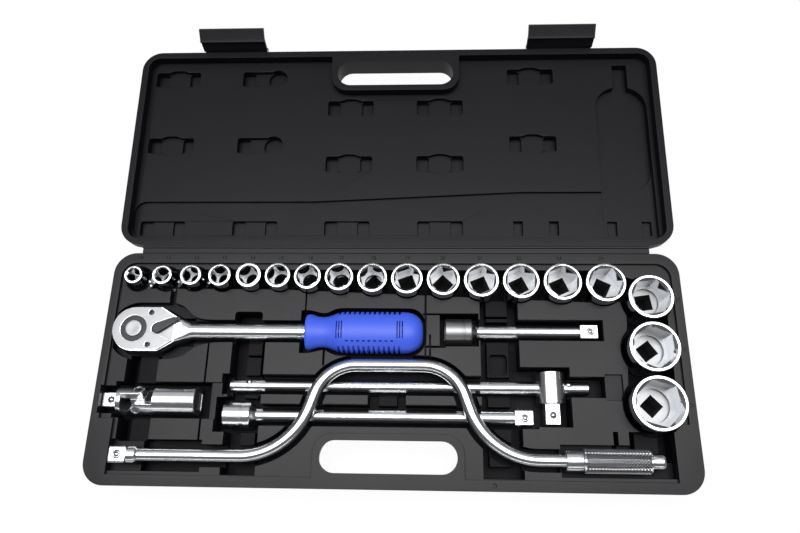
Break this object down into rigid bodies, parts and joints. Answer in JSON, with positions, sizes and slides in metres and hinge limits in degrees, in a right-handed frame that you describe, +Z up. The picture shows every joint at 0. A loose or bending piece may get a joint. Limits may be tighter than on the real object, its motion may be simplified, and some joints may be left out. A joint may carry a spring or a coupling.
{
  "type": "socket wrench set",
  "caption": "Socket wrench set in a black moulded case: chrome sockets, ratchet with blue grip, extensions, T-bar, universal joint and speed brace",
  "frame": {"origin": "Centre of the base's flat underside", "axes": "+X to the right along the case's long side, +Y back towards the hinge and the open lid, +Z up"},
  "size_m": [0.4752, 0.4008, 0.0607],
  "materials": {
    "case_plastic": "moulded polyethylene, soft sheen",
    "chrome": "polished chrome plate on steel",
    "grip_rubber": "matt soft rubber",
    "black_oxide": "black oxide on steel",
    "ball_steel": "plain steel"
  },
  "bodies": {
    "base": {"case_base": "case_plastic", "hinge_leaf_base": "case_plastic"},
    "lid": {"case_lid": "case_plastic", "hinge_leaf_lid": "case_plastic", "latch_left_pin": "ball_steel", "latch_right_pin": "ball_steel"},
    "left_latch": {"latch_left": "case_plastic"},
    "right_latch": {"latch_right": "case_plastic"},
    "ratchet": {"ratchet_body": "chrome", "ratchet_cover_plate": "chrome", "ratchet_cover_screws": "black_oxide", "ratchet_grip": "grip_rubber"},
    "gear": {"ratchet_drive_gear": "black_oxide"},
    "button": {"ratchet_release_button": "chrome"},
    "gear_ball": {"ratchet_ball": "ball_steel"},
    "lever": {"ratchet_reverse_lever": "black_oxide"},
    "pawl": {"ratchet_pawl": "black_oxide"},
    "brace": {"brace_crank": "chrome", "brace_collar": "chrome", "brace_end_stub": "chrome"},
    "brace_sleeve": {"brace_grip": "chrome"},
    "brace_detent": {"brace_ball": "ball_steel"},
    "long_bar": {"long_extension": "chrome"},
    "long_detent": {"long_extension_ball": "ball_steel"},
    "tbar": {"tbar_rod": "chrome"},
    "tbar_stops": {"tbar_stop_balls": "ball_steel"},
    "slider": {"tbar_slider": "chrome"},
    "slider_detent": {"tbar_slider_ball": "ball_steel"},
    "joint_drive": {"uj_drive_yoke": "chrome"},
    "joint_cross": {"uj_cross": "chrome"},
    "joint_socket": {"uj_socket_yoke": "chrome"},
    "joint_detent": {"uj_ball": "ball_steel"},
    "short_bar": {"short_extension": "chrome"},
    "short_detent": {"short_extension_ball": "ball_steel"},
    "socket_10_body": {"socket_10": "chrome"},
    "socket_11_body": {"socket_11": "chrome"},
    "socket_12_body": {"socket_12": "chrome"},
    "socket_13_body": {"socket_13": "chrome"},
    "socket_14_body": {"socket_14": "chrome"},
    "socket_15_body": {"socket_15": "chrome"},
    "socket_16_body": {"socket_16": "chrome"},
    "socket_17_body": {"socket_17": "chrome"},
    "socket_18_body": {"socket_18": "chrome"},
    "socket_19_body": {"socket_19": "chrome"},
    "socket_20_body": {"socket_20": "chrome"},
    "socket_21_body": {"socket_21": "chrome"},
    "socket_22_body": {"socket_22": "chrome"},
    "socket_23_body": {"socket_23": "chrome"},
    "socket_24_body": {"socket_24": "chrome"},
    "socket_27_body": {"socket_27": "chrome"},
    "socket_30_body": {"socket_30": "chrome"},
    "socket_32_body": {"socket_32": "chrome"}
  },
  "joints": [
    {"name": "lid_hinge", "type": "hinge", "parent": "base", "child": "lid", "pos_m": [0, 0.0989, 0.0322], "axis": [-1, 0, 0], "range_deg": [-177, 0]},
    {"name": "latch_left_swing", "type": "hinge", "parent": "lid", "child": "left_latch", "pos_m": [-0.151, 0.29705, 0.03638], "axis": [-1, 0, 0], "range_deg": [-14, 60]},
    {"name": "latch_right_swing", "type": "hinge", "parent": "lid", "child": "right_latch", "pos_m": [0.151, 0.29705, 0.03638], "axis": [-1, 0, 0], "range_deg": [-14, 60]},
    {"name": "ratchet_lift", "type": "slide", "parent": "base", "child": "ratchet", "axis": [0, 0, 1], "range_m": [0, 0.07]},
    {"name": "gear_turn", "type": "hinge", "parent": "ratchet", "child": "gear", "pos_m": [-0.21098, 0.0276, 0.0371], "axis": [0, 0, 1], "continuous": true},
    {"name": "button_press", "type": "slide", "parent": "gear", "child": "button", "axis": [0, 0, 1], "range_m": [-0.0025, 0], "stiffness_N_per_m": 600},
    {"name": "gear_ball_press", "type": "slide", "parent": "gear", "child": "gear_ball", "axis": [1, 0, 0], "range_m": [-0.001, 0]},
    {"name": "lever_flip", "type": "hinge", "parent": "ratchet", "child": "lever", "pos_m": [-0.19128, 0.0276, 0.0371], "axis": [0, 0, 1], "range_deg": [-52, 0]},
    {"name": "pawl_swing", "type": "hinge", "parent": "ratchet", "child": "pawl", "pos_m": [-0.19128, 0.0276, 0.0371], "axis": [0, 0, 1], "range_deg": [-10.4, 0]},
    {"name": "brace_lift", "type": "slide", "parent": "base", "child": "brace", "axis": [0, 0, 1], "range_m": [0, 0.08]},
    {"name": "brace_grip_turn", "type": "hinge", "parent": "brace", "child": "brace_sleeve", "pos_m": [0.17315, -0.0719, 0.03065], "axis": [1, 0, 0], "continuous": true},
    {"name": "long_extension_lift", "type": "slide", "parent": "base", "child": "long_bar", "axis": [0, 0, 1], "range_m": [0, 0.064]},
    {"name": "tbar_lift", "type": "slide", "parent": "base", "child": "tbar", "axis": [0, 0, 1], "range_m": [0, 0.064]},
    {"name": "tbar_slider_slide", "type": "slide", "parent": "tbar", "child": "slider", "axis": [1, 0, 0], "range_m": [-0.007, 0.001]},
    {"name": "uj_lift", "type": "slide", "parent": "base", "child": "joint_drive", "axis": [0, 0, 1], "range_m": [0, 0.06]},
    {"name": "uj_bend_drive", "type": "hinge", "parent": "joint_drive", "child": "joint_cross", "pos_m": [-0.20288, -0.0292, 0.0203], "axis": [0, -0.7071, -0.7071], "range_deg": [0, 27]},
    {"name": "uj_bend_socket", "type": "hinge", "parent": "joint_cross", "child": "joint_socket", "pos_m": [-0.20288, -0.0292, 0.0203], "axis": [0, -0.7071, 0.7071], "range_deg": [0, 27]},
    {"name": "short_extension_lift", "type": "slide", "parent": "base", "child": "short_bar", "axis": [0, 0, 1], "range_m": [0, 0.06]},
    {"name": "brace_ball_press", "type": "slide", "parent": "brace", "child": "brace_detent", "axis": [0, 0, 1], "range_m": [-0.001, 0], "stiffness_N_per_m": 500},
    {"name": "long_extension_ball_press", "type": "slide", "parent": "long_bar", "child": "long_detent", "axis": [0, 0, 1], "range_m": [-0.001, 0], "stiffness_N_per_m": 500},
    {"name": "short_extension_ball_press", "type": "slide", "parent": "short_bar", "child": "short_detent", "axis": [0, 0, 1], "range_m": [-0.001, 0], "stiffness_N_per_m": 500},
    {"name": "slider_ball_press", "type": "slide", "parent": "slider", "child": "slider_detent", "axis": [0, 0, 1], "range_m": [-0.001, 0], "stiffness_N_per_m": 500},
    {"name": "tbar_stop_press", "type": "slide", "parent": "tbar", "child": "tbar_stops", "axis": [0, 0.6428, 0.766], "range_m": [-0.001, 0], "stiffness_N_per_m": 500},
    {"name": "uj_ball_press", "type": "slide", "parent": "joint_drive", "child": "joint_detent", "axis": [0, 0, 1], "range_m": [-0.001, 0], "stiffness_N_per_m": 500},
    {"name": "socket_10_lift", "type": "slide", "parent": "base", "child": "socket_10_body", "axis": [0, 0, 1], "range_m": [0, 0.06]},
    {"name": "socket_11_lift", "type": "slide", "parent": "base", "child": "socket_11_body", "axis": [0, 0, 1], "range_m": [0, 0.06]},
    {"name": "socket_12_lift", "type": "slide", "parent": "base", "child": "socket_12_body", "axis": [0, 0, 1], "range_m": [0, 0.06]},
    {"name": "socket_13_lift", "type": "slide", "parent": "base", "child": "socket_13_body", "axis": [0, 0, 1], "range_m": [0, 0.06]},
    {"name": "socket_14_lift", "type": "slide", "parent": "base", "child": "socket_14_body", "axis": [0, 0, 1], "range_m": [0, 0.06]},
    {"name": "socket_15_lift", "type": "slide", "parent": "base", "child": "socket_15_body", "axis": [0, 0, 1], "range_m": [0, 0.06]},
    {"name": "socket_16_lift", "type": "slide", "parent": "base", "child": "socket_16_body", "axis": [0, 0, 1], "range_m": [0, 0.06]},
    {"name": "socket_17_lift", "type": "slide", "parent": "base", "child": "socket_17_body", "axis": [0, 0, 1], "range_m": [0, 0.06]},
    {"name": "socket_18_lift", "type": "slide", "parent": "base", "child": "socket_18_body", "axis": [0, 0, 1], "range_m": [0, 0.06]},
    {"name": "socket_19_lift", "type": "slide", "parent": "base", "child": "socket_19_body", "axis": [0, 0, 1], "range_m": [0, 0.06]},
    {"name": "socket_20_lift", "type": "slide", "parent": "base", "child": "socket_20_body", "axis": [0, 0, 1], "range_m": [0, 0.06]},
    {"name": "socket_21_lift", "type": "slide", "parent": "base", "child": "socket_21_body", "axis": [0, 0, 1], "range_m": [0, 0.06]},
    {"name": "socket_22_lift", "type": "slide", "parent": "base", "child": "socket_22_body", "axis": [0, 0, 1], "range_m": [0, 0.06]},
    {"name": "socket_23_lift", "type": "slide", "parent": "base", "child": "socket_23_body", "axis": [0, 0, 1], "range_m": [0, 0.06]},
    {"name": "socket_24_lift", "type": "slide", "parent": "base", "child": "socket_24_body", "axis": [0, 0, 1], "range_m": [0, 0.06]},
    {"name": "socket_27_lift", "type": "slide", "parent": "base", "child": "socket_27_body", "axis": [0, 0, 1], "range_m": [0, 0.06]},
    {"name": "socket_30_lift", "type": "slide", "parent": "base", "child": "socket_30_body", "axis": [0, 0, 1], "range_m": [0, 0.06]},
    {"name": "socket_32_lift", "type": "slide", "parent": "base", "child": "socket_32_body", "axis": [0, 0, 1], "range_m": [0, 0.06]}
  ],
  "couplings": [
    {"joint": "gear_ball_press", "follows": "button_press", "ratio": 0.4},
    {"joint": "pawl_swing", "follows": "lever_flip", "ratio": 0.2},
    {"joint": "long_extension_lift", "follows": "brace_lift", "ratio": 0.8},
    {"joint": "tbar_lift", "follows": "brace_lift", "ratio": 0.8},
    {"joint": "uj_bend_socket", "follows": "uj_bend_drive", "ratio": 1}
  ]
}
